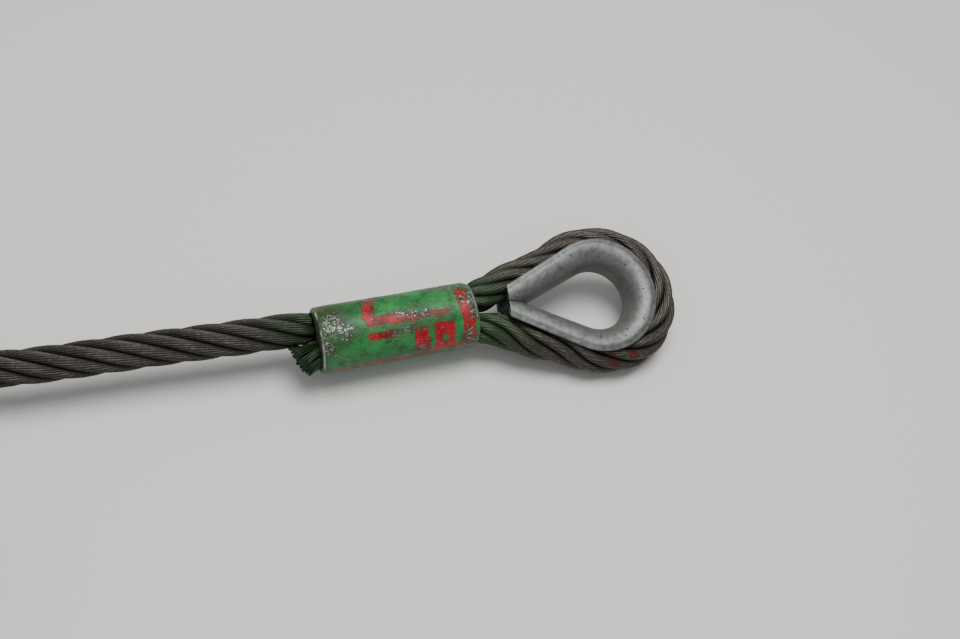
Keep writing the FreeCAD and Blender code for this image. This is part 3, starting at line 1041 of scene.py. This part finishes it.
WORN_PATCHES = [
    (4.6, 5.2, 3.0, 3.6, 12), (8.0, 1.2, 2.6, 2.2, -20), (2.6, -1.5, 1.4, 4.0, 0),
    (18.0, 13.0, 1.6, 1.8, -14), (30.5, 4.0, 2.6, 0.8, 0), (36.4, 3.6, 1.0, 0.6, 0),
    (28.5, -1.6, 4.6, 0.5, 2), (10.5, -14.1, 1.8, 0.7, 0), (35.2, -9.6, 1.0, 0.9, 0),
    (54.6, 6.0, 1.8, 7.0, 0), (50.6, 6.0, 0.8, 1.6, 10), (51.5, -6.0, 0.7, 1.2, 0),
    (45.5, 14.0, 4.5, 1.8, -8), (52.0, -9.0, 2.0, 1.0, 0), (12.0, 48.0, 5.0, 3.0, 0),
    (44.0, 60.0, 5.0, 2.5, 0),
]


def patches(tree, along_skin, round_skin, rows):
    """How far outside the nearest of the patches each point is, in millimetres."""
    total = None
    for u, v, half_u, half_v, lean in rows:
        c, s = math.cos(math.radians(lean)), math.sin(math.radians(lean))
        du, dv = along_skin - u, round_skin - v
        far_u = abs(du * c + dv * s) - half_u
        far_v = abs(dv * c - du * s) - half_v
        here = far_u.at_least(far_v)
        total = here if total is None else total.at_most(here)
    return total


print("patches of red", len(RED_PATCHES), "and worn", len(WORN_PATCHES))

# %% Ferrule material
def ferrule_material():
    """Green over red over bare metal, laid out on the ferrule's map."""
    material, tree, shader = new_material("painted_ferrule")
    place = object_place(tree)
    length, girth = (attribute(tree, title) for title in ("length", "girth"))
    whole = FERRULE_L / MM

    def wave(scale, shift):
        moved = node(tree, "ShaderNodeVectorMath", {"operation": "ADD"}, place, (shift, shift, 0.0))
        return noise(tree, moved, scale, 5.0, 0.62) - 0.5

    u = length + 3.2 * wave(170.0, 0.0) + 2.0 * wave(900.0, 1.0)
    v = girth + 3.4 * wave(170.0, 2.0) + 2.0 * wave(900.0, 3.0)
    red = patches(tree, u, v, RED_PATCHES).step(0.2, -0.2)
    worn = patches(tree, u, v, WORN_PATCHES).step(2.2, -0.8)
    grain = noise(tree, place, 760.0, 6.0, 0.74)
    fleck = noise(tree, place, 1500.0, 3.0, 0.7)
    upper = girth.step(0.0, 9.0) * length.step(10.0, 24.0)
    bare = (grain + 0.15 * worn + 0.3 * worn * (fleck - 0.5)).step(0.625, 0.66)
    chips = (fleck + 0.035 * upper + 0.03 * red).step(0.662, 0.69)
    broad = noise(tree, place, 70.0, 3.0)
    cloud = noise(tree, place, 260.0, 5.0, 0.6)
    green = mix_colour(tree, broad.step(0.3, 0.7), srgb(24, 98, 46), srgb(44, 132, 66))
    green = mix_colour(tree, cloud.step(0.44, 0.68) * 0.75, green, srgb(16, 62, 30))
    dust = noise(tree, place, 2200.0, 2.0).step(0.56, 0.7)
    green = mix_colour(tree, dust * 0.35, green, srgb(122, 150, 84))
    # painted shade: the green is darker on the ferrule's lower side
    low = girth.step(-2.0, -13.0)
    green = mix_colour(tree, low * 0.35, green, srgb(16, 66, 34))
    dirty = length.step(17.0, 3.0) * (0.35 + 0.65 * girth.step(-4.0, 9.0))
    dirty = dirty * noise(tree, place, 210.0, 5.0).step(0.3, 0.58)
    green = mix_colour(tree, dirty * 0.85, green, srgb(52, 56, 30))
    streak = node(tree, "ShaderNodeTexNoise", None, Scale=1.0, Detail=5.0, Roughness=0.7,
                  Vector=node(tree, "ShaderNodeCombineXYZ", None, length * 0.13, girth * 1.5, 0.0))
    scuff = abs(girth + 0.2).step(5.4, 2.6) * length.step(13, 18) * length.step(48, 40)
    green = mix_colour(tree, scuff * streak.step(0.44, 0.60) * 0.85, green, srgb(74, 66, 44))
    pale = scuff * streak.step(0.58, 0.68) * 0.8
    red_colour = mix_colour(tree, cloud.step(0.4, 0.68), srgb(158, 20, 26), srgb(98, 16, 20))
    dark_stripe = length.step(30.0, 34.0) * girth.step(0.2, 1.4) * length.step(47.0, 45.0)
    red_colour = mix_colour(tree, dark_stripe * 0.6, red_colour, srgb(70, 30, 24))
    glitter = (0.5 * fleck + 0.5 * wave(2600.0, 5.0) + 0.25).step(0.42, 0.60)
    metal = mix_colour(tree, glitter, srgb(30, 34, 24), srgb(158, 162, 154))
    edge = (red * (1 - red) * 4).at_most(1.0)
    colour = mix_colour(tree, red, green, red_colour)
    colour = mix_colour(tree, edge * 0.5, colour, srgb(22, 30, 18))
    colour = mix_colour(tree, pale * (1 - red), colour, srgb(150, 150, 128))
    grubby = worn * noise(tree, place, 420.0, 5.0, 0.7).step(0.34, 0.52)
    colour = mix_colour(tree, grubby * 0.8, colour, srgb(50, 54, 38))
    bare = (bare + chips).at_most(1.0)
    colour = mix_colour(tree, bare, colour, metal)
    ends = length.step(0.7, 0.1).at_least(length.step(whole - 0.5, whole - 0.1))
    rims = abs(length - 0.4).step(0.4, 0.1).at_least(abs(length - (whole - 0.8)).step(0.4, 0.1))
    colour = mix_colour(tree, ends * 0.8, colour, srgb(70, 76, 60))
    rims = rims * noise(tree, place, 260.0, 4.0).step(0.46, 0.60)
    colour = mix_colour(tree, rims, colour, srgb(150, 153, 145))
    layers = bare * -1.0 + red * -0.4 + 0.25 * grain + 0.1 * fleck
    bump = node(tree, "ShaderNodeBump", None, Strength=0.8, Distance=0.00022, Height=layers)
    feed(tree, shader, Base_Color=colour, Metallic=bare * 0.6, Roughness=0.34 + 0.25 * cloud, Normal=bump,
         Specular_IOR_Level=0.32)
    return material


paint = ferrule_material()
print("paint has", len(paint.node_tree.nodes), "nodes")

# %% [markdown]
# ## Dressing the pieces
#
# Every new piece gets a material. The rope inside each ferrule stays as the CAD made it,
# with plain steel.

# %% Give every piece its material
def dress(piece, material):
    """Give a piece its material."""
    piece.data.materials.clear()
    piece.data.materials.append(material)
    print(piece.name, "is", material.name)


for piece in (rope_first, rope_turn, rope_last):
    dress(piece, wire_rope)
for end in PLACE:
    dress(bpy.data.objects["rope_eye_" + end], wire_rope)
    dress(bpy.data.objects["cut_end_" + end], cut_wire)
    dress(bpy.data.objects["ferrule_shell_" + end], paint)
    dress(bpy.data.objects["thimble_shell_" + end], zinc)
    for kept in ("live_part_", "dead_part_"):
        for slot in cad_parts[kept + end].material_slots:
            slot.material = pressed_wire

# %% [markdown]
# ## Floor and light
#
# The sling lies on a plain pale table. One large soft light hangs overhead, so the
# shadows stay close under the rope, and a weak wide one fills them.

# %% Floor
floor_mesh = bpy.data.meshes.new("table")
SPREAD = 20.0
corners = [(x * SPREAD, y * SPREAD, 0) for x, y in ((-1, -1), (1, -1), (1, 1), (-1, 1))]
floor_mesh.from_pydata(corners, [], [(0, 1, 2, 3)])
floor = bpy.data.objects.new("table", floor_mesh)
floor.location = (0, 0, FLOOR_Z - 0.1 * MM)
bpy.context.scene.collection.objects.link(floor)
material, tree, shader = new_material("table")
feed(tree, shader, Base_Color=srgb(222, 220, 216), Roughness=0.6)
floor_mesh.materials.append(material)
print("table is", 2 * SPREAD, "m wide")

# %% Lights
def area_light(title, place, aim, size, power, colour):
    """A round soft light at a place, turned to a point."""
    data = bpy.data.lights.new(title, "AREA")
    data.shape = "DISK"
    data.size = size
    data.energy = power
    data.color = colour
    light = bpy.data.objects.new(title, data)
    light.location = place
    light.rotation_euler = (Vector(aim) - Vector(place)).to_track_quat("-Z", "Y").to_euler()
    bpy.context.scene.collection.objects.link(light)


AIM = (-0.07, 0, 0)
area_light("key", (0.02, 0.05, 1.0), AIM, 0.65, 11.0, (1.0, 0.99, 0.97))
area_light("fill", (-0.5, -0.6, 1.0), AIM, 1.2, 2.0, (0.96, 0.98, 1.0))
world = bpy.data.worlds.new("room")
world.use_nodes = True
world.node_tree.nodes["Background"].inputs["Color"].default_value = (0.9, 0.92, 0.95, 1)
world.node_tree.nodes["Background"].inputs["Strength"].default_value = 0.35
bpy.context.scene.world = world
